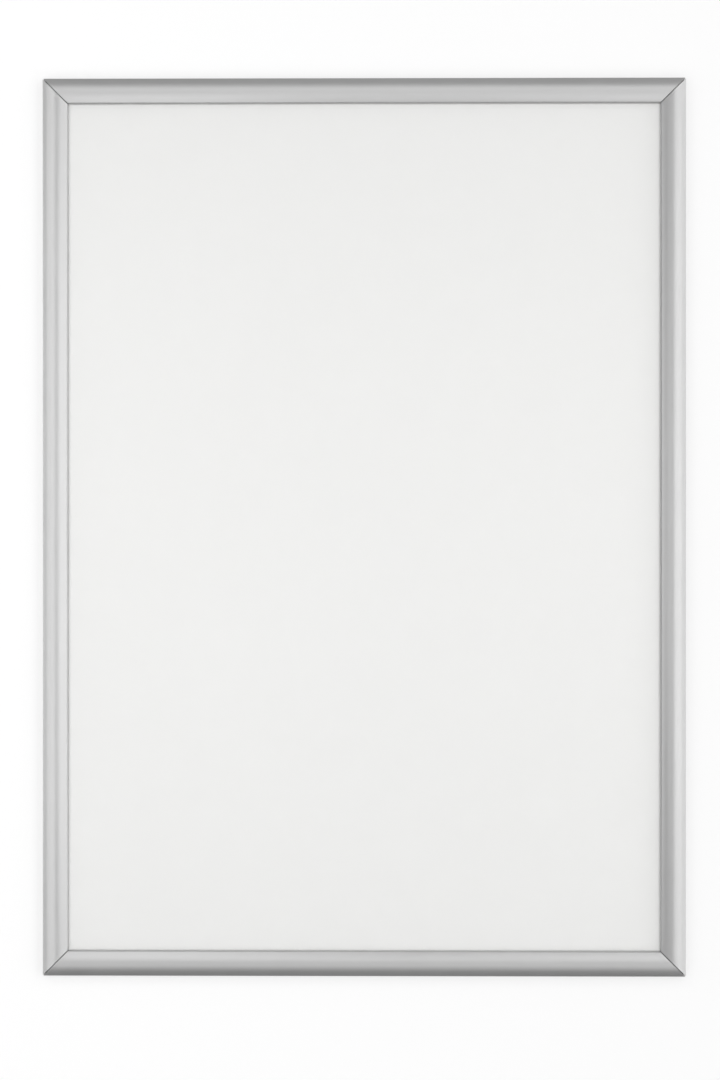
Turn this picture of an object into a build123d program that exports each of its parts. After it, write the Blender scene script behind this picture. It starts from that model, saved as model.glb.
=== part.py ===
from build123d import *
from math import atan, atan2, cos, degrees, hypot, radians, sin, sqrt, tan
import os

os.makedirs("parts", exist_ok=True)

# A snap poster frame. Its origin is on the wall plane, at the centre of the four wall holes.
# X is to the right, Z is up, and the frame faces -Y. All lengths are in millimetres.
# A rail's section is drawn with u running inwards from the frame's outer edge
# and v running forwards from the wall.

# The closed frame
frame_width = 624.0
frame_height = 871.0
rail_width = 25.0
rail_depth = 12.0
opening_angle = 90.0
overrun = 5.0

# Snap rail
face_radius = 30.0
crest_share = 0.656
skin = 1.3
lip_wall = 1.3
inner_edge_radius = 2.0
inner_corner_radius = 0.7
lip_edge_radius = 0.3
mitre_gap = 0.7

# Hinge hook on the snap rail, and the bead on the base rail that it turns round
bead_radius = 1.2
hinge_clearance = 0.05
hook_wall = 1.2
hook_tip_angle = 135.0
hook_foot_angle = -86.0
neck_wall = 0.9
neck_angle = 250.0
mitre_relief = 4.0
relief_drop = 0.7

# Leg on the snap rail, with the notch that the leaf springs push in
leg_wall = 1.2
leg_taper = 0.4
notch_pad = 2.0
notch_pad_depth = 0.4
notch_half_angle = 70.0
notch_radius = 3.6

# Base rail
base_setback = 0.2
web = 1.2
outer_wall = 1.2
wall_clearance = 0.1
rib_wall = 1.4
rib_height = 6.2
groove_half_angle = 30.0
groove_centre_depth = 0.3
groove_height = 5.2
flange_gap = 0.3
flange = 1.0
lower_flange_reach = 7.9
upper_flange_reach = 10.0
base_corner_radius = 0.5
flange_tip_radius = 0.3

# Back panel and cover sheet
sheet_inset = 15.0
sheet_clearance = 0.4
panel_thickness = 1.0
panel_clearance = 0.2
cover_thickness = 0.5
sheet_corner_radius = 2.0

# Leaf springs
spring_thickness = 0.4
spring_length = 40.0
spring_rise = 1.0
spring_straight = 0.8
spring_end_clearance = 0.05
spring_place_shares = {"short": [-0.25, 0.25], "long": [-0.32, 0.0, 0.32]}

# Corner keys, their screws and the wall holes
key_thickness = 2.0
key_width = 6.4
key_leg = 45.0
key_rib_gap = 0.1
key_corner_radius = 1.5
key_screw_shares = [0.4, 0.8]
screw_radius = 1.45
screw_hole_radius = 1.5
screw_head_radius = 2.6
screw_head_height = 1.5
screw_sink = 0.1
screw_tip_gap = 0.2
screw_recess_radius = 1.1
screw_recess_depth = 0.9
recess_sides = 6
wall_hole_radius = 2.25
wall_hole_inset = 60.0


def polar(centre, radius, angle):
    """The point at a radius and an angle in degrees from a centre."""
    return (centre[0] + radius * cos(radians(angle)), centre[1] + radius * sin(radians(angle)))


def bearing(start, end):
    """The angle in degrees of the line from one point to another."""
    return degrees(atan2(end[1] - start[1], end[0] - start[0]))


# The hook's circle touches the face's arc from inside, and its tip ends level with the outer edge.
face_centre = (crest_share * rail_width, rail_depth - face_radius)
hook_bore = bead_radius + hinge_clearance
hook_radius = hook_bore + hook_wall
hinge_u = -hook_radius * cos(radians(hook_tip_angle))
hinge_rise = sqrt((face_radius - hook_radius) ** 2 - (face_centre[0] - hinge_u) ** 2)
hinge = (hinge_u, face_centre[1] + hinge_rise)

# Heights of the panel groove and of the sheet's seat, from the wall
lower_flange_back = web + flange_gap
panel_back = lower_flange_back + flange
upper_flange_back = panel_back + panel_thickness + panel_clearance
cover_back = upper_flange_back + flange
cover_front = cover_back + cover_thickness

# The rib, and the two seats of a leaf spring: the dead centre is half way through the opening.
rib_inner = sheet_inset - sheet_clearance
rib_outer = rib_inner - rib_wall
groove_seat = (rib_outer + groove_centre_depth, groove_height)
leg_angle = bearing(hinge, groove_seat) - opening_angle / 2
notch_seat = polar(hinge, notch_radius, leg_angle)
spring_chord = hypot(groove_seat[0] - notch_seat[0], groove_seat[1] - notch_seat[1])
spring_end_radius = spring_thickness / 2

# The trough between the base rail's outer wall and its rib holds the keys and the wall holes.
key_outer = rib_outer - key_rib_gap - key_width
key_line = key_outer + key_width / 2

sides = ["bottom", "right", "top", "left"]
corners = ["bottom_right", "top_right", "top_left", "bottom_left"]
rail_lengths = [frame_width, frame_height, frame_width, frame_height]
rail_kinds = ["short", "long", "short", "long"]
rail_reaches = [frame_height / 2, frame_width / 2, frame_height / 2, frame_width / 2]


def block(u0, v0, u1, v1):
    """A rectangle in a rail's section, from one corner to the other."""
    return Pos((u0 + u1) / 2, (v0 + v1) / 2) * Rectangle(u1 - u0, v1 - v0)


def outline(points):
    """A flat face inside straight lines through the points."""
    return make_face(Polyline(points, close=True))


def disc(centre, radius):
    """A round face in a rail's section."""
    return Pos(*centre) * Circle(radius)


def rounded(face, corner, radius):
    """The face with the corner that lies nearest to a point rounded."""
    nearest = min(face.vertices(), key=lambda v: hypot(v.X - corner[0], v.Y - corner[1]))
    return fillet(nearest, radius)


def leg_face():
    """The leg, drawn from the hinge along +u: a stem, a wider pad and a shallow V notch in its end."""
    half_stem = leg_wall / 2
    half_pad = notch_pad / 2
    bottom = notch_radius - spring_end_radius / sin(radians(notch_half_angle)) - spring_end_clearance
    tip = bottom + half_pad / tan(radians(notch_half_angle))
    root = (hook_bore + hook_radius) / 2
    pad_start = tip - notch_pad_depth
    taper_start = pad_start - leg_taper
    upper = [(root, half_stem), (taper_start, half_stem), (pad_start, half_pad), (tip, half_pad)]
    lower = [(x, -y) for x, y in reversed(upper)]
    return outline(upper + [(bottom, 0)] + lower)


def snap_section():
    """The convex skin with its lip, hook and leg, in the closed position."""
    top = rail_depth + overrun
    tangent = polar(face_centre, face_radius + overrun, bearing(face_centre, hinge))
    right_of_hinge = outline(
        [face_centre, tangent, (tangent[0], top), (rail_width, top), (rail_width, face_centre[1])]
    )
    face_disc = disc(face_centre, face_radius)
    band = (face_disc - disc(face_centre, face_radius - skin)) & right_of_hinge
    lip = block(rail_width - lip_wall, cover_front, rail_width, rail_depth) & face_disc
    reach = 2 * hook_radius
    middle = (hook_tip_angle + 360 + hook_foot_angle) / 2
    mouth_angles = [hook_tip_angle, (hook_tip_angle + middle) / 2, middle]
    mouth_angles += [(middle + 360 + hook_foot_angle) / 2, 360 + hook_foot_angle]
    mouth = outline([hinge] + [polar(hinge, reach, angle) for angle in mouth_angles])
    hook = disc(hinge, hook_radius) - mouth
    leg = Pos(*hinge) * Rot(Z=leg_angle) * leg_face()
    section = (band + lip + hook + leg) - disc(hinge, hook_bore)
    edge_rise = sqrt(face_radius**2 - (rail_width - face_centre[0]) ** 2)
    under_run = rail_width - lip_wall - face_centre[0]
    under_rise = sqrt((face_radius - skin) ** 2 - under_run**2)
    section = rounded(section, (rail_width, face_centre[1] + edge_rise), inner_edge_radius)
    section = rounded(
        section, (rail_width - lip_wall, face_centre[1] + under_rise), inner_corner_radius
    )
    section = rounded(section, (rail_width, cover_front), lip_edge_radius)
    return rounded(section, (rail_width - lip_wall, cover_front), lip_edge_radius)


def base_section():
    """Web, outer wall with the hinge bead on its neck, rib with the spring groove, and two flanges."""
    wall = block(base_setback, 0, base_setback + outer_wall, hinge[1])
    wall -= disc(hinge, hook_radius + wall_clearance)
    neck = Pos(*hinge) * Rot(Z=neck_angle) * block(
        0, -neck_wall / 2, hook_radius + outer_wall / 2, neck_wall / 2
    )
    rib = block(rib_outer, 0, rib_inner, rib_height)
    groove_depth = spring_end_radius / sin(radians(groove_half_angle)) + spring_end_clearance
    groove_bottom = (groove_seat[0] + groove_depth, groove_height)
    groove_run = groove_bottom[0] - rib_outer + overrun
    groove_half = groove_run * tan(radians(groove_half_angle))
    groove = outline(
        [
            groove_bottom,
            (groove_bottom[0] - groove_run, groove_height + groove_half),
            (groove_bottom[0] - groove_run, groove_height - groove_half),
        ]
    )
    lower_tip = rib_inner + lower_flange_reach
    upper_tip = rib_inner + upper_flange_reach
    lower = block(rib_outer, lower_flange_back, lower_tip, panel_back)
    upper = block(rib_outer, upper_flange_back, upper_tip, cover_back)
    section = block(base_setback, 0, rib_inner, web) + wall + neck + disc(hinge, bead_radius)
    section = section + (rib - groove) + lower + upper
    section = rounded(section, (base_setback, 0), base_corner_radius)
    section = rounded(section, (lower_tip, lower_flange_back), flange_tip_radius)
    section = rounded(section, (lower_tip, panel_back), flange_tip_radius)
    section = rounded(section, (upper_tip, upper_flange_back), flange_tip_radius)
    return rounded(section, (upper_tip, cover_back), flange_tip_radius)


def section_plane(reach):
    """The plane of the bottom rail's section, its outer edge at a distance below the frame's centre."""
    return Plane(origin=(0, 0, -reach), x_dir=(0, 0, 1), z_dir=(1, 0, 0))


def front_plane(reach):
    """The plane of the wall, with its x along the bottom rail and its y inwards from the outer edge."""
    return Plane(origin=(0, 0, -reach), x_dir=(1, 0, 0), z_dir=(0, -1, 0))


def turned(shape, side):
    """A shape made at the bottom of the frame, turned about the frame's centre to one of its sides."""
    return Rot(Y=-90 * side) * shape


def mitred(section, length, reach, set_back):
    """A section drawn out along the bottom rail and mitred at both ends, each set back along the rail."""
    bar = extrude(section_plane(reach) * section, amount=length / 2, both=True)
    outer = length / 2 - set_back + overrun
    inner = length / 2 - set_back - rail_width - overrun
    plan = outline(
        [
            (-outer, -overrun),
            (outer, -overrun),
            (inner, rail_width + overrun),
            (-inner, rail_width + overrun),
        ]
    )
    depth = rail_depth + overrun
    return bar & extrude(front_plane(reach) * plan, amount=depth, both=True)


def upright(face, reach, back, front):
    """A face in the plane of the wall, drawn forwards from one height above the wall to another."""
    return extrude(front_plane(reach).offset(back) * face, amount=front - back)


def snap_rail(side):
    """A snap rail. Near its mitres the leg and the foot of the hook are cut back, to clear the next rail."""
    length = rail_lengths[side]
    reach = rail_reaches[side]
    set_back = mitre_gap / 2 * sqrt(2)
    rail = mitred(snap_section(), length, reach, set_back)
    leg_reach = hinge[0] + notch_radius
    relief_width = leg_reach + mitre_relief + overrun
    relief_centre = length / 2 - leg_reach - mitre_relief + relief_width / 2
    relief_top = hinge[1] - relief_drop
    span = rail_width - lip_wall - inner_corner_radius
    for end in (-1, 1):
        relief = Pos(end * relief_centre, span / 2) * Rectangle(relief_width, span)
        rail -= upright(relief, reach, 0, relief_top)
    return turned(rail, side)


def key_screw_places(length):
    """Distances from a rail's middle to its key screws, from its own key at either end."""
    corner = length / 2 - key_outer
    return [corner - share * key_leg for share in key_screw_shares]


def base_rail(side):
    """A base rail with its holes: two key screws at each end, and wall holes at the top and bottom."""
    length = rail_lengths[side]
    reach = rail_reaches[side]
    rail = mitred(base_section(), length, reach, 0)
    for end in (-1, 1):
        for place in key_screw_places(length):
            hole = Pos(end * place, key_line) * Circle(screw_hole_radius)
            rail -= upright(hole, reach, -overrun, lower_flange_back)
        if rail_kinds[side] == "short":
            hole = Pos(end * (length / 2 - wall_hole_inset), key_line) * Circle(wall_hole_radius)
            rail -= upright(hole, reach, -overrun, lower_flange_back)
    return turned(rail, side)


def at_corner(shape, corner):
    """A shape made at the bottom right corner, in the plane of the wall, moved to another corner."""
    if corner in (0, 2):
        return turned(shape, corner)
    return turned(mirror(shape, about=Plane.YZ), corner + 1)


def corner_spots():
    """Places of the bottom right key's four screws, along the rail and inwards from the outer edge."""
    half = frame_width / 2
    spots = [(place, key_line) for place in key_screw_places(frame_width)]
    for place in key_screw_places(frame_height):
        spots.append((half - key_line, frame_height / 2 - place))
    return spots


def corner_key(corner):
    """An L of steel plate in the trough, with a countersunk hole for each screw."""
    right = frame_width / 2 - key_outer
    left = right - key_leg
    inner = right - key_width
    top = key_outer + key_leg
    plate = outline(
        [
            (left, key_outer),
            (right, key_outer),
            (right, top),
            (inner, top),
            (inner, key_outer + key_width),
            (left, key_outer + key_width),
        ]
    )
    for tip in [(left, key_outer), (left, key_outer + key_width), (inner, top), (right, top)]:
        plate = rounded(plate, tip, key_corner_radius)
    front = web + key_thickness
    key = upright(plate, frame_height / 2, web, front)
    plane = front_plane(frame_height / 2)
    head_back = front - screw_sink - screw_head_height
    play = screw_hole_radius - screw_radius
    for spot in corner_spots():
        key -= upright(Pos(*spot) * Circle(screw_hole_radius), frame_height / 2, 0, front)
        sink = Cone(screw_hole_radius, screw_head_radius + play, screw_head_height, align=on_base)
        key -= plane * Pos(*spot, head_back) * sink
        mouth = Pos(*spot) * Circle(screw_head_radius + play)
        key -= upright(mouth, frame_height / 2, front - screw_sink, front + overrun)
    return at_corner(key, corner)


on_base = (Align.CENTER, Align.CENTER, Align.MIN)


def key_screw():
    """A countersunk screw on +Z from its tip, with a hexagon recess in its head."""
    length = web + key_thickness - screw_sink - screw_tip_gap
    shank_length = length - screw_head_height
    shank = Cylinder(screw_radius, shank_length, align=on_base)
    head = Cone(screw_radius, screw_head_radius, screw_head_height, align=on_base)
    recess = extrude(RegularPolygon(screw_recess_radius, recess_sides), screw_recess_depth)
    return shank + Pos(0, 0, shank_length) * head - Pos(0, 0, length - screw_recess_depth) * recess


def corner_screws(corner):
    """The four countersunk screws of one corner, a group of separate solids."""
    plane = front_plane(frame_height / 2)
    screws = [plane * Pos(*spot, screw_tip_gap) * key_screw() for spot in corner_spots()]
    return Compound([solid for screw in screws for solid in at_corner(screw, corner).solids()])


def spring_face():
    """A bowed strip from one rounded end on the origin to the other along +x: three arcs, curving
    up, over and down again, between two straight ends."""
    run = spring_chord - 2 * spring_straight
    turn = 2 * degrees(atan(2 * spring_rise / run))
    radius = run / (4 * sin(radians(turn)))
    middle = spring_chord / 2
    far = spring_chord - spring_straight
    centres = [(spring_straight, radius), (middle, spring_rise - radius), (far, radius)]
    sweeps = [(-90, -90 + turn), (90 + turn, 90 - turn), (-90 - turn, -90)]
    edges = []
    for offset in (spring_end_radius, -spring_end_radius):
        height = offset
        reaches = [radius - offset, radius + offset, radius - offset]
        edges.append(Line((0, height), (spring_straight, height)))
        for centre, reach, (start, end) in zip(centres, reaches, sweeps):
            points = [polar(centre, reach, a) for a in (start, (start + end) / 2, end)]
            edges.append(ThreePointArc(*points))
        edges.append(Line((far, height), (spring_chord, height)))
    for x, way in ((0, -1), (spring_chord, 1)):
        cap = [(x, spring_end_radius), (x + way * spring_end_radius, 0), (x, -spring_end_radius)]
        edges.append(ThreePointArc(*cap))
    return make_face(edges)


def leaf_spring(side, place_share):
    """A leaf spring from its groove in the rib to its notch in the leg, bowed forwards."""
    reach = rail_reaches[side]
    angle = bearing(notch_seat, groove_seat)
    face = Pos(*notch_seat) * Rot(Z=angle) * spring_face()
    strip = extrude(section_plane(reach) * face, amount=spring_length / 2, both=True)
    return turned(Pos(place_share * rail_lengths[side], 0, 0) * strip, side)


def sheet(back, front):
    """A flat sheet with small rounded corners, as large as the grooves allow."""
    face = RectangleRounded(
        frame_width - 2 * sheet_inset, frame_height - 2 * sheet_inset, sheet_corner_radius
    )
    return upright(face, 0, back, front)


nodes = {}
for side, name in enumerate(sides):
    nodes[f"base_rail_{name}"] = base_rail(side)
    nodes[f"snap_rail_{name}"] = snap_rail(side)
    for number, share in enumerate(spring_place_shares[rail_kinds[side]], 1):
        nodes[f"leaf_spring_{name}_{number}"] = leaf_spring(side, share)
for corner, name in enumerate(corners):
    nodes[f"corner_key_{name}"] = corner_key(corner)
    nodes[f"corner_screws_{name}"] = corner_screws(corner)
nodes["back_panel"] = sheet(panel_back, panel_back + panel_thickness)
nodes["cover_sheet"] = sheet(cover_back, cover_front)

for name, shape in nodes.items():
    export_step(shape, f"parts/{name}.step")

print("hinge", hinge, "groove seat", groove_seat, "notch seat", notch_seat, "chord", spring_chord)
open_notch = polar(hinge, notch_radius, leg_angle + opening_angle)
spring_turn = bearing(open_notch, groove_seat) - bearing(notch_seat, groove_seat)
print("spring turn", spring_turn, "ratio", spring_turn / opening_angle)
print("key line", key_line, "cover front", cover_front, "trough", key_outer)
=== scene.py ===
from math import acos, asin, atan2, cos, degrees, pi, radians, sin, sqrt, tan

import bmesh
import bpy
import numpy as np
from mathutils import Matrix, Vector


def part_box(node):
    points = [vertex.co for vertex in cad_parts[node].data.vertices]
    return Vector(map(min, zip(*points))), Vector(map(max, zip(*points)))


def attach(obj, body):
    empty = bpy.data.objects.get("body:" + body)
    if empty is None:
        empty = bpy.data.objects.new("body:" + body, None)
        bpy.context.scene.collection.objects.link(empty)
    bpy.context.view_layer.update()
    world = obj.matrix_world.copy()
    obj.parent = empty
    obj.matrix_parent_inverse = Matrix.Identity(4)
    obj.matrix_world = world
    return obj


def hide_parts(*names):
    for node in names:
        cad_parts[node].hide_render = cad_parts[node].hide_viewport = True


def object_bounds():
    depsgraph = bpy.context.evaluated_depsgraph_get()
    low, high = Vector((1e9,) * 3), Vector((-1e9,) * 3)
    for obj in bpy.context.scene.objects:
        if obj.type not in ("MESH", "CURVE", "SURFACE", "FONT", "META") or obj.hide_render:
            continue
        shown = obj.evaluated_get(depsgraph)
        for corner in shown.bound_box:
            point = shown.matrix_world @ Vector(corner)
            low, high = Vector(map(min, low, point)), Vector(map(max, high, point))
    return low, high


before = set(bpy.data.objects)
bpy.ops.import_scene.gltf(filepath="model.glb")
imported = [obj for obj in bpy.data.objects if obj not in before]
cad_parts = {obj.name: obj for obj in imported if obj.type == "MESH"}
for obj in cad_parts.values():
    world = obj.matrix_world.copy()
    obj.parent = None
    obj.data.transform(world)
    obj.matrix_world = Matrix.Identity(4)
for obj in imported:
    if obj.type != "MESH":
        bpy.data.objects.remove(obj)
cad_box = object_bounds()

# A snap poster frame on a white wall, in metres. The frame faces -Y and hangs with +Z up.
mm = 0.001
low, high = cad_box
frame_width = high.x - low.x
frame_height = high.z - low.z
frame_depth = high.y - low.y

# The sides, each a quarter turn anticlockwise from the one before as the camera sees them, and the axis that
# each one's rails run along
rail_axis = {"bottom": "x", "right": "z", "top": "x", "left": "z"}

# The snap rail's section: u runs inwards from the frame's outer edge, v forwards from the wall.
rail_width = 25.0 * mm
face_radius = 30.0 * mm
crest_share = 0.656
skin = 1.3 * mm
lip_wall = 1.3 * mm
inner_edge_radius = 2.0 * mm
inner_corner_radius = 0.7 * mm
lip_edge_radius = 0.3 * mm
lip_front = -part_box("cover_sheet")[0].y
rail_low, rail_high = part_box("snap_rail_bottom")
mitre_setback = (frame_width - (rail_high.x - rail_low.x)) / 2
mitre_edge_radius = 0.25 * mm
mitre_edge_steps = (90, 45, 0)
mitre_margin = 1.0 * mm
sharp_angle = 20.0

# The hook round the hinge bead, whose circle touches the face's arc from inside
bead_radius = 1.2 * mm
hinge_clearance = 0.05 * mm
hook_wall = 1.2 * mm
hook_bore = bead_radius + hinge_clearance
hook_radius = hook_bore + hook_wall
hook_tip_angle = 135.0
hook_foot_angle = -86.0
mitre_relief = 4.0 * mm
relief_drop = 0.7 * mm
face_centre = (crest_share * rail_width, frame_depth - face_radius)
hinge_u = -hook_radius * cos(radians(hook_tip_angle))
hinge_v = face_centre[1] + sqrt((face_radius - hook_radius) ** 2 - (face_centre[0] - hinge_u) ** 2)
hinge = (hinge_u, hinge_v)

# The leg, its notch, and the springs' seat in the rib
leg_wall = 1.2 * mm
leg_taper = 0.4 * mm
notch_pad = 2.0 * mm
notch_pad_depth = 0.4 * mm
notch_half_angle = 70.0
notch_radius = 3.6 * mm
spring_thickness = 0.4 * mm
spring_end_clearance = 0.05 * mm
opening_angle = 90.0
groove_seat = (13.5 * mm, 5.2 * mm)
leg_angle = degrees(atan2(groove_seat[1] - hinge[1], groove_seat[0] - hinge[0])) - opening_angle / 2

# The cover sheet, with a little play on both faces
cover_corner_radius = 2.0 * mm
cover_corner_points = 10
cover_chamfer = 0.08 * mm
cover_play = 0.02 * mm


class Value:
    """A socket in a shader, so that sums and products of sockets read as plain expressions."""

    def __init__(self, tree, socket):
        self.tree = tree
        self.socket = socket

    def _math(self, operation, *values):
        return self.tree.node("ShaderNodeMath", dict(operation=operation), *values)

    def __add__(self, other):
        return self._math("ADD", self, other)

    def __radd__(self, other):
        return self._math("ADD", other, self)

    def __sub__(self, other):
        return self._math("SUBTRACT", self, other)

    def __rsub__(self, other):
        return self._math("SUBTRACT", other, self)

    def __mul__(self, other):
        return self._math("MULTIPLY", self, other)

    def __rmul__(self, other):
        return self._math("MULTIPLY", other, self)

    def __neg__(self):
        return self * -1.0

    def between(self, start, end):
        """0 below start and 1 above end, with a smooth step between them."""
        settings = dict(interpolation_type="SMOOTHSTEP")
        ends = {"From Min": start, "From Max": end}
        return self.tree.node("ShaderNodeMapRange", settings, Value=self, **ends)


class Tree:
    """A node tree whose nodes are added by one method."""

    def __init__(self, node_tree):
        self.nodes = node_tree.nodes
        self.links = node_tree.links

    def node(self, kind, settings=None, *values, output=0, **named):
        """Adds a node: its settings are set first, then its sockets, by order or by name."""
        node = self.nodes.new(kind)
        for key, value in (settings or {}).items():
            setattr(node, key, value)
        for key, value in [*enumerate(values), *named.items()]:
            if isinstance(value, Value):
                self.links.new(value.socket, node.inputs[key])
            elif value is not None:
                node.inputs[key].default_value = value
        return Value(self, node.outputs[output])

    def parts(self, vector):
        """The x, y and z of a vector."""
        split = self.node("ShaderNodeSeparateXYZ", None, vector).socket.node
        return [Value(self, output) for output in split.outputs]


class Finish(Tree):
    """A material made of nodes round one Principled shader."""

    def __init__(self, name, **plain):
        self.material = bpy.data.materials.new(name)
        self.material.use_nodes = True
        super().__init__(self.material.node_tree)
        self.shader = self.nodes["Principled BSDF"]
        for socket, value in plain.items():
            self.shader.inputs[socket.replace("_", " ")].default_value = value

    def set(self, **values):
        """Links values to the shader's sockets."""
        for key, value in values.items():
            self.links.new(value.socket, self.shader.inputs[key.replace("_", " ")])

    def noise(self, scale, stretch=(1, 1, 1), detail=3.0, roughness=0.55):
        """Fractal noise from 0 to 1 on Object coordinates, each axis times its own stretch, with so many
        features to the metre."""
        coordinates = self.node("ShaderNodeTexCoord", output="Object")
        place = self.node("ShaderNodeMapping", None, coordinates, Scale=stretch)
        look = dict(Scale=scale, Detail=detail, Roughness=roughness)
        return self.node("ShaderNodeTexNoise", None, Vector=place, **look)

    def blend(self, share, colour_a, colour_b):
        """A colour between two, by a share from 0 to 1. A Mix node has five sockets before its colours that
        they don't use."""
        unused = [None] * 5
        settings = dict(data_type="RGBA")
        return self.node("ShaderNodeMix", settings, share, *unused, colour_a, colour_b, output=2)

    def bump(self, height, distance, strength=1.0):
        """A normal from a height, whose whole range is a distance in metres."""
        return self.node("ShaderNodeBump", None, Height=height, Distance=distance, Strength=strength)


def grey(level, warm=0.0):
    """An opaque near-grey colour, a little warmer or cooler."""
    return (level * (1 + warm), level, level * (1 - warm), 1.0)


def cream(level):
    """An opaque white with a trace less blue."""
    return (level, level, level * 0.98, 1.0)


# Finishes


def drawn_metal(name, along, level, roughness, contrast, warm=0.0):
    """Metal with fine lines along the named axes, as a die, a roll or a saw leaves them, and a faint mottle
    over them."""
    features_along, features_across, mottle_features = 2.0, 3000.0, 40.0
    mottle_share = 0.5
    tone_range = 0.06
    line_depth = 0.004 * mm
    finish = Finish(name, Metallic=1.0)
    stretch = [features_along if axis in along else features_across for axis in "xyz"]
    lines = finish.noise(1.0, stretch, roughness=0.6)
    mottle = finish.noise(mottle_features, detail=2.0)
    tone = lines * contrast + mottle * (contrast * mottle_share)
    darkest, lightest = level * (1 - tone_range), level * (1 + tone_range)
    finish.set(
        Base_Color=finish.blend(tone, grey(darkest, warm), grey(lightest, warm)),
        Roughness=lines * 0.06 + mottle * 0.04 + roughness - 0.05,
        Normal=finish.bump(lines, line_depth, 0.6),
    )
    return finish.material


def plated(name, level, roughness, warm):
    """Zinc plated steel: a fine cloudy spangle, warm where it is dark and cool where it is light."""
    cloud_features, grain_features = 260.0, 2600.0
    grain_depth = 0.01 * mm
    finish = Finish(name, Metallic=1.0)
    cloud = finish.noise(cloud_features, detail=4.0)
    grain = finish.noise(grain_features, detail=2.0)
    tone = (cloud * 0.8 + grain * 0.2).between(0.35, 0.65)
    finish.set(
        Base_Color=finish.blend(tone, grey(level * 0.86, warm), grey(level * 1.08, -warm)),
        Roughness=cloud * 0.2 + roughness - 0.1,
        Normal=finish.bump(grain, grain_depth, 0.5),
    )
    return finish.material


def white_panel():
    """White polystyrene sheet, which scatters light within it: a very fine orange peel and a barely uneven
    white."""
    uneven_features, peel_features = 6.0, 1400.0
    peel_depth = 0.01 * mm
    translucent = dict(Subsurface_Weight=1.0, Subsurface_Radius=(1.0, 1.0, 1.0), Subsurface_Scale=2 * mm)
    finish = Finish("White polystyrene", Specular_IOR_Level=0.4, **translucent)
    uneven = finish.noise(uneven_features, detail=2.0)
    peel = finish.noise(peel_features, detail=2.0)
    finish.set(
        Base_Color=finish.blend(uneven, cream(0.895), cream(0.915)),
        Roughness=peel * 0.1 + 0.42,
        Normal=finish.bump(peel, peel_depth, 0.4),
    )
    return finish.material


def clear_sheet():
    """Clear plastic with a matt anti-glare face: almost no body, a soft haze."""
    grain_features, haze_features = 2200.0, 5.0
    grain_depth = 0.01 * mm
    finish = Finish("Clear anti-glare plastic", Specular_IOR_Level=0.5)
    grain = finish.noise(grain_features, detail=2.0)
    haze = finish.noise(haze_features, detail=2.0)
    finish.set(
        Base_Color=finish.blend(haze, grey(0.88), grey(0.92)),
        Alpha=haze * 0.04 + 0.11,
        Roughness=grain * 0.1 + 0.28,
        Normal=finish.bump(grain, grain_depth, 0.3),
    )
    return finish.material


def wall_paint():
    """A matt white wall. Part of its white is a glow that only the camera, reflections and rays that pass
    through a piece see, so that the frame's shade on it is wide and soft."""
    paint_level, glow_level = 0.42, 0.548
    finish = Finish("White wall", Roughness=0.9, Specular_IOR_Level=0.1, Base_Color=grey(paint_level))
    kinds = ("Is Camera Ray", "Is Glossy Ray", "Is Transmission Ray")
    seen = sum(finish.node("ShaderNodeLightPath", output=kind) for kind in kinds)
    glow = finish.node("ShaderNodeEmission", None, grey(1.0), seen * glow_level)
    both = finish.node("ShaderNodeAddShader", None, Value(finish, finish.shader.outputs[0]), glow)
    finish.links.new(both.socket, finish.nodes["Material Output"].inputs["Surface"])
    return finish.material


# Meshes


def mesh_object(name, verts, faces):
    """A new object with a mesh of these vertices and faces."""
    mesh = bpy.data.meshes.new(name)
    mesh.from_pydata(np.asarray(verts).tolist(), [], faces)
    mesh.update()
    obj = bpy.data.objects.new(name, mesh)
    bpy.context.scene.collection.objects.link(obj)
    return obj


def merge(obj):
    """Joins vertices that share a place, and turns every face outwards."""
    merge_distance = 0.001 * mm
    net = bmesh.new()
    net.from_mesh(obj.data)
    bmesh.ops.remove_doubles(net, verts=net.verts, dist=merge_distance)
    bmesh.ops.recalc_face_normals(net, faces=net.faces)
    net.to_mesh(obj.data)
    net.free()


def grid_faces(rows, columns, closed):
    """Quads between neighbouring rows of a grid of vertices, as an array by row, column and corner. A closed
    grid also joins its last column to its first."""
    quads_across = columns if closed else columns - 1
    row, column = np.meshgrid(np.arange(rows - 1), np.arange(quads_across), indexing="ij")
    here, next_row = row * columns, (row + 1) * columns
    beside = (column + 1) % columns
    return np.stack((here + column, here + beside, next_row + beside, next_row + column), axis=-1)


def arc(centre, radius, start, end, count):
    """Points on a circle from one angle in degrees to another, ends included: the centre + radius times
    (cos a, sin a)."""
    angles = np.radians(np.linspace(start, end, count))
    return np.column_stack((centre[0] + radius * np.cos(angles), centre[1] + radius * np.sin(angles)))


# Snap rails


def bearing(start, end):
    """The angle in degrees of the line from one point to another."""
    return degrees(atan2(end[1] - start[1], end[0] - start[0]))


def leg_outline():
    """The leg from its upper side round the notch to its lower side. Its points lie along and across a line
    from the hinge, and are turned with that line to the leg's angle."""
    half_stem, half_pad = leg_wall / 2, notch_pad / 2
    bottom = notch_radius - spring_thickness / 2 / sin(radians(notch_half_angle)) - spring_end_clearance
    tip = bottom + half_pad / tan(radians(notch_half_angle))
    pad = tip - notch_pad_depth
    upper = [(pad - leg_taper, half_stem), (pad, half_pad), (tip, half_pad)]
    lower = [(x, -y) for x, y in reversed(upper)]
    points = np.array(upper + [(bottom, 0)] + lower)
    a = radians(leg_angle)
    turn = np.array([[cos(a), sin(a)], [-sin(a), cos(a)]])
    return points @ turn + hinge


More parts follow.
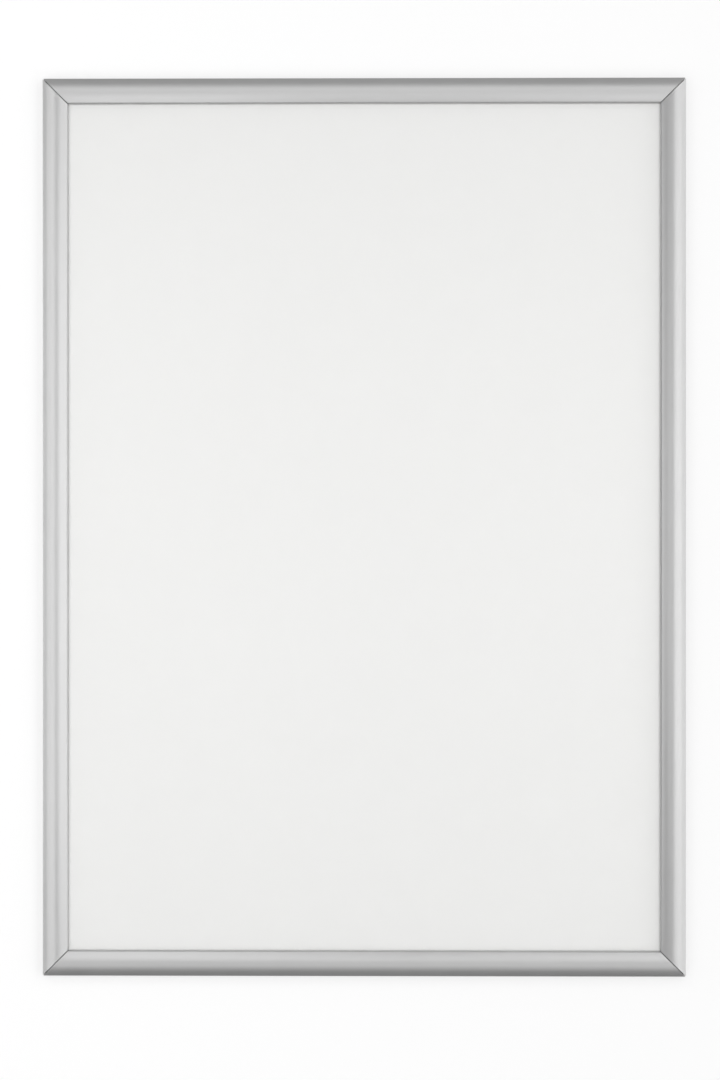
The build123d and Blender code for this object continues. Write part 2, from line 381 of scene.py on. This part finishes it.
def snap_profiles():
    """The snap rail's section as two runs of points, clockwise. The first is the skin, the lip and the hook's
    upper half, from one end of the relief plane to the other; the second is the hook's foot with the leg. The
    hook's root lies where its circle meets the one under the skin, in a triangle with the two centres."""
    edge_reach = face_radius - inner_edge_radius
    edge_u = rail_width - inner_edge_radius
    edge_angle = degrees(acos((edge_u - face_centre[0]) / edge_reach))
    edge_centre = (edge_u, face_centre[1] + edge_reach * sin(radians(edge_angle)))
    touch_angle = bearing(face_centre, hinge)
    under_radius = face_radius - skin
    to_hinge = face_radius - hook_radius
    corner = (to_hinge**2 + hook_radius**2 - under_radius**2) / (2 * to_hinge * hook_radius)
    root_angle = touch_angle - 180 + degrees(acos(corner))
    root = arc(hinge, hook_radius, root_angle, root_angle, 1)[0]
    plane_outer = -degrees(asin(relief_drop / hook_radius))
    plane_inner = -degrees(asin(relief_drop / hook_bore))
    stem_angle = degrees(asin(leg_wall / 2 / hook_radius))
    lip_outer = (rail_width - lip_edge_radius, lip_front + lip_edge_radius)
    lip_inner = (rail_width - lip_wall + lip_edge_radius, lip_front + lip_edge_radius)
    upper = [
        arc(hinge, hook_bore, plane_inner, hook_tip_angle, 28),
        arc(hinge, hook_radius, hook_tip_angle, touch_angle, 4),
        arc(face_centre, face_radius, touch_angle, edge_angle, 72)[1:],
        arc(edge_centre, inner_edge_radius, edge_angle, 0, 16)[1:],
        arc(lip_outer, lip_edge_radius, 0, -90, 6),
        arc(lip_inner, lip_edge_radius, -90, -180, 6),
        arc(edge_centre, inner_corner_radius, 0, edge_angle, 8),
        arc(face_centre, under_radius, edge_angle, bearing(face_centre, root), 48)[1:],
        arc(hinge, hook_radius, root_angle, plane_outer, 12)[1:],
    ]
    lower = [
        arc(hinge, hook_radius, plane_outer, leg_angle + stem_angle, 4),
        leg_outline(),
        arc(hinge, hook_radius, leg_angle - stem_angle, hook_foot_angle, 5),
        arc(hinge, hook_bore, hook_foot_angle, plane_inner, 8),
    ]
    return np.vstack(upper), np.vstack(lower)


def drawn_in(profile, amount):
    """A closed clockwise profile moved inwards along the mean of each point's two side normals."""
    before = profile - np.roll(profile, 1, axis=0)
    after = np.roll(profile, -1, axis=0) - profile
    sides = [way / np.linalg.norm(way, axis=1, keepdims=True) for way in (before, after)]
    mean = sides[0] + sides[1]
    mean /= np.linalg.norm(mean, axis=1, keepdims=True)
    return profile + amount * np.column_stack((mean[:, 1], -mean[:, 0]))


def mitre_end(profile, mitre):
    """The rows at a mitre that round its edge, each a profile with its distances along the rail. At an angle
    a the profile is drawn in by radius (1 - cos a) and set back from the mitre by radius (1 - sin a)."""
    rows = []
    for step in mitre_edge_steps:
        inset = mitre_edge_radius * (1 - cos(radians(step)))
        back = mitre_edge_radius * (1 - sin(radians(step)))
        ring = drawn_in(profile, inset)
        rows.append((ring, mitre - back - ring[:, 0]))
    return rows


def rail_faces(rows, upper_count, lower_count):
    """The faces of a rail, and its two sawn ends. Each band of the upper run closes along the relief plane,
    but for the middle one, where the lower run joins it. The lower run is one open band with a face at each
    of its ends."""
    bands = grid_faces(rows, upper_count, closed=True)
    keep = np.ones(bands.shape[:2], bool)
    keep[rows // 2 - 1, -1] = False
    first = rows * upper_count
    lower_band = grid_faces(2, lower_count, closed=False).reshape(-1, 4) + first
    lower_ends = [range(first + k * lower_count, first + (k + 1) * lower_count) for k in (0, 1)]
    sawn = [range(k * upper_count, (k + 1) * upper_count) for k in (0, rows - 1)]
    return bands[keep].tolist() + lower_band.tolist() + lower_ends, sawn


def snap_rail(name, side, finish, sawn_finish):
    """The bottom rail's profile carried along x between its mitre faces, where along = half length - set back
    - u, and then turned about y to its own side. The hook's foot and the leg stop short of the mitres, at the
    relief planes."""
    length, breadth = (frame_width, frame_height) if side % 2 == 0 else (frame_height, frame_width)
    upper, lower = snap_profiles()
    mitre = length / 2 - mitre_setback
    relief = length / 2 - hinge[0] - notch_radius - mitre_relief
    end = mitre_end(upper, mitre)
    inner = np.minimum(relief, mitre - upper[:, 0] - mitre_margin)
    rows = [(ring, -along) for ring, along in end]
    rows += [(upper, -inner), (upper, inner), *reversed(end)]
    lower_rows = [(lower, np.full(len(lower), along)) for along in (-relief, relief)]
    points = np.vstack([np.column_stack((along, ring)) for ring, along in rows + lower_rows])
    x, u, v = points.T
    z = u - breadth / 2
    turn = -radians(90 * side)
    verts = np.column_stack((x * cos(turn) + z * sin(turn), -v, -x * sin(turn) + z * cos(turn)))
    faces, sawn = rail_faces(len(rows), len(upper), len(lower))
    rail = mesh_object(name, verts, faces + sawn)
    rail.data.materials.append(finish)
    rail.data.materials.append(sawn_finish)
    for polygon in rail.data.polygons[len(faces):]:
        polygon.material_index = 1
    merge(rail)
    rail.data.shade_smooth()
    rail.data.set_sharp_from_angle(angle=radians(sharp_angle))
    return rail


# Cover sheet


def flat_sheet(name, half_width, half_height, corner_radius, back, front, chamfer, finish):
    """A flat sheet from back to front, measured forwards from the wall. Its outline is a rectangle with a
    quarter circle at each corner, and each face's edge has a chamfer of 45 degrees."""
    corners = [(1, 1, 0), (-1, 1, 90), (-1, -1, 180), (1, -1, 270)]
    reach_x, reach_z = half_width - corner_radius, half_height - corner_radius
    levels = [(chamfer, back), (0.0, back + chamfer), (0.0, front - chamfer), (chamfer, front)]
    rings = []
    for inset, forwards in levels:
        radius = corner_radius - inset
        arcs = [
            arc((right * reach_x, up * reach_z), radius, start, start + 90, cover_corner_points)
            for right, up, start in corners
        ]
        x, z = np.vstack(arcs).T
        rings.append(np.column_stack((x, np.full(len(x), -forwards), z)))
    count = len(rings[0])
    last = (len(rings) - 1) * count
    faces = grid_faces(len(rings), count, closed=True).reshape(-1, 4).tolist()
    faces += [range(count), range(last, last + count)]
    sheet = mesh_object(name, np.vstack(rings), faces)
    sheet.data.materials.append(finish)
    merge(sheet)
    return sheet


# Assembly


def dress(finish, node):
    """Gives a CAD node a finish."""
    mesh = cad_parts[node].data
    mesh.materials.clear()
    mesh.materials.append(finish)


def drawn_pair(name, *values):
    """A drawn metal for the pieces that run along x, and one for those along z."""
    return {axis: drawn_metal(f"{name} {axis}", axis, *values) for axis in "xz"}


rail_finish = drawn_pair("Satin anodised aluminium", 0.508, 0.36, 0.5)
base_finish = drawn_pair("Mill aluminium", 0.6, 0.42, 0.8)
spring_finish = drawn_pair("Rolled spring steel", 0.4, 0.3, 1.4, -0.025)
sawn_finish = drawn_metal("Sawn aluminium", "xz", 0.42, 0.5, 1.2)
key_finish = plated("Zinc plated steel", 0.55, 0.34, 0.02)
screw_finish = plated("Zinc plated screw steel", 0.5, 0.3, 0.03)

for side, (name, axis) in enumerate(rail_axis.items()):
    dress(rail_finish[axis], f"snap_rail_{name}")
    dress(base_finish[axis], f"base_rail_{name}")
    rail = snap_rail(f"{name}_snap_rail", side, rail_finish[axis], sawn_finish)
    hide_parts(f"snap_rail_{name}")
    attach(rail, f"snap_{name}")
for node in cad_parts:
    if node.startswith("corner_key"):
        dress(key_finish, node)
    if node.startswith("corner_screws"):
        dress(screw_finish, node)
    if node.startswith("leaf_spring"):
        dress(spring_finish[rail_axis[node.split("_")[2]]], node)
dress(white_panel(), "back_panel")
cover_finish = clear_sheet()
dress(cover_finish, "cover_sheet")
cover_low, cover_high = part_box("cover_sheet")
cover = flat_sheet(
    "front_sheet",
    cover_high.x,
    cover_high.z,
    cover_corner_radius,
    -cover_high.y + cover_play,
    -cover_low.y - cover_play,
    cover_chamfer,
    cover_finish,
)
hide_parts("cover_sheet")
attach(cover, "frame")


def make_wall():
    """The wall just behind the frame, open behind it so that the frame's back can be seen."""
    reach = 4.0
    gap = 0.5 * mm
    overlap = 3.0 * mm
    half_x, half_z = frame_width / 2 - overlap, frame_height / 2 - overlap
    outer = [(-reach, -reach), (reach, -reach), (reach, reach), (-reach, reach)]
    inner = [(-half_x, -half_z), (half_x, -half_z), (half_x, half_z), (-half_x, half_z)]
    verts = [(x, gap, z) for x, z in outer + inner]
    faces = [(i, (i + 1) % 4, 4 + (i + 1) % 4, 4 + i) for i in range(4)]
    wall = mesh_object("wall", verts, faces)
    wall.data.materials.append(wall_paint())


make_wall()


# Light

# Soft boxes that light everything, two of them behind the wall for the frame's back, in metres and degrees.
# name: x, y, z, turn, width, height, radiance
lamps = {
    "right_front": (0.50, -2.35, 0.0, 12, 0.45, 1.25, 1.15),
    "left_front": (-0.35, -1.40, 0.0, 0, 0.35, 1.2, 1.3),
    "back_left": (-1.2, 1.8, 0.5, 216, 1.6, 2.2, 0.6),
    "back_right": (1.2, 1.8, 0.5, 144, 1.6, 2.2, 0.6),
}

# Soft boxes with flags that keep them off, or on, the panel and some rails. The panel has its own light from
# the front, so that the rails cast no wide shade on it. name: state, what is flagged, then as above
flagged_lamps = {
    "right_key": ("EXCLUDE", "panel", 1.41, -1.94, 0.0, 36, 0.45, 1.5, 1.9),
    "right_edge": ("EXCLUDE", "panel left", 1.75, -1.40, 0.0, 0, 0.35, 1.5, 2.05),
    "left_key": ("EXCLUDE", "panel right", -1.05, -1.40, 0.0, 0, 0.35, 1.5, 1.55),
    "left_side": ("EXCLUDE", "panel right", -2.38, -0.33, 0.0, -82, 0.45, 1.5, 2.0),
    "left_close": ("EXCLUDE", "panel right", -1.15, -0.80, 0.0, -30, 0.35, 1.3, 1.05),
    "above": ("EXCLUDE", "panel", 0.0, -1.40, 1.25, 0, 2.0, 0.66, 0.82),
    "below": ("EXCLUDE", "panel", 0.0, -1.40, -1.25, 0, 2.0, 0.66, 0.62),
    "panel_left": ("INCLUDE", "panel", -0.65, -1.60, 0.0, 0, 0.6, 1.5, 2.1),
    "panel_right": ("INCLUDE", "panel", 0.65, -1.60, 0.0, 0, 0.6, 1.5, 2.45),
    "near_left": ("INCLUDE", "left", -0.165, -0.45, 0.0, 0, 0.25, 1.15, 0.57),
    "near_right": ("INCLUDE", "right", 0.0, -1.40, 0.0, 0, 0.45, 0.5, 0.35),
    "front_middle": ("INCLUDE", "bottom top", 0.05, -1.40, 0.0, 0, 0.3, 1.0, 0.15),
    "front_right": ("INCLUDE", "bottom top", 0.45, -1.40, 0.0, 0, 0.5, 1.0, 0.25),
    "top_crest": ("INCLUDE", "top", 0.1, -1.40, 0.64, 0, 1.4, 0.35, 0.65),
    "bottom_crest": ("INCLUDE", "bottom", 0.1, -1.40, -0.58, 0, 1.4, 0.35, 0.85),
}

# Soft boxes beyond the four corners, as far forwards as they are to the side, and turned to the frame
corner_reach = 1.5
corner_turn = 45
corner_size = 0.9
for x_name, x_sign, radiance in (("left", -1, 1.5), ("right", 1, 2.1)):
    for z_name, z_sign in (("low", -1), ("high", 1)):
        place = (x_sign * corner_reach, -corner_reach, z_sign * corner_reach, x_sign * corner_turn)
        size = (corner_size, corner_size)
        flagged_lamps[f"{z_name}_{x_name}"] = ("EXCLUDE", "panel", *place, *size, radiance)

flag_pieces = {name: [f"{name}_snap_rail"] for name in rail_axis}
flag_pieces["panel"] = ["back_panel", "front_sheet"]


def add_lamp(name, x, y, z, turn, width, height, radiance):
    """A soft box that faces +Y, turned about its upright middle by degrees. Its power is four times its
    radiance and its area."""
    light = bpy.data.lights.new(name, "AREA")
    light.shape = "RECTANGLE"
    light.size, light.size_y = width, height
    light.energy = 4 * radiance * width * height
    lamp = bpy.data.objects.new(name, light)
    lamp.location = (x, y, z)
    lamp.rotation_euler = (pi / 2, 0, radians(turn))
    lamp.visible_camera = False
    bpy.context.scene.collection.objects.link(lamp)
    return lamp


for name, values in lamps.items():
    add_lamp(name, *values)
for name, (state, flagged, *values) in flagged_lamps.items():
    flags = bpy.data.collections.new(name)
    for word in flagged.split():
        for piece in flag_pieces[word]:
            flags.objects.link(bpy.data.objects[piece])
    for item in flags.collection_objects:
        item.light_linking.link_state = state
    add_lamp(name, *values).light_linking.receiver_collection = flags


def make_world():
    """An even studio, whose level rises in smooth steps towards the wall at each side and the ceiling."""
    room, left_wall, right_wall, ceiling = 0.32, 0.25, 1.12, 0.2
    wall_edge, ceiling_edge = (0.6, 0.95), (0.4, 0.95)
    world = bpy.data.worlds.new("Studio")
    world.use_nodes = True
    studio = Tree(world.node_tree)
    x, _, z = studio.parts(studio.node("ShaderNodeTexCoord", output="Generated"))
    walls = left_wall * (-x).between(*wall_edge) + right_wall * x.between(*wall_edge)
    level = room + walls + ceiling * z.between(*ceiling_edge)
    studio.links.new(level.socket, studio.nodes["Background"].inputs["Color"])
    bpy.context.scene.world = world


make_world()


# Camera


def toward(azimuth, elevation):
    """The unit vector from the frame's centre to a place in front of it, by two angles in degrees."""
    a, e = radians(azimuth), radians(elevation)
    return Vector((sin(a) * cos(e), -cos(a) * cos(e), sin(e)))


def make_camera():
    """The photograph's view: nearly square on, a little from the right, from about 3 metres. The lens is as
    long, for the sensor's size, as the distance is for the height that the picture takes in."""
    image_width, image_height = 720, 1080
    frame_centre_pixel = (363.9, 527.3)
    metres_per_pixel = 0.9700 * mm
    distance = 3.0
    azimuth, elevation = 0.65, -0.1
    outline_depth = 7.0 * mm
    sensor_size = 36.0
    camera = bpy.data.objects.new("camera", bpy.data.cameras.new("camera"))
    bpy.context.scene.collection.objects.link(camera)
    right = (image_width / 2 - frame_centre_pixel[0]) * metres_per_pixel
    up = (frame_centre_pixel[1] - image_height / 2) * metres_per_pixel
    target = Vector((right, -outline_depth, up))
    camera.location = Vector((0, -outline_depth, 0)) + toward(azimuth, elevation) * distance
    camera.rotation_euler = (camera.location - target).to_track_quat("Z", "Y").to_euler()
    camera.data.sensor_width = sensor_size
    camera.data.lens = sensor_size * distance / (image_height * metres_per_pixel)
    camera.data.clip_end = 50.0
    bpy.context.scene.camera = camera


make_camera()
bpy.context.scene.view_settings.view_transform = "Standard"
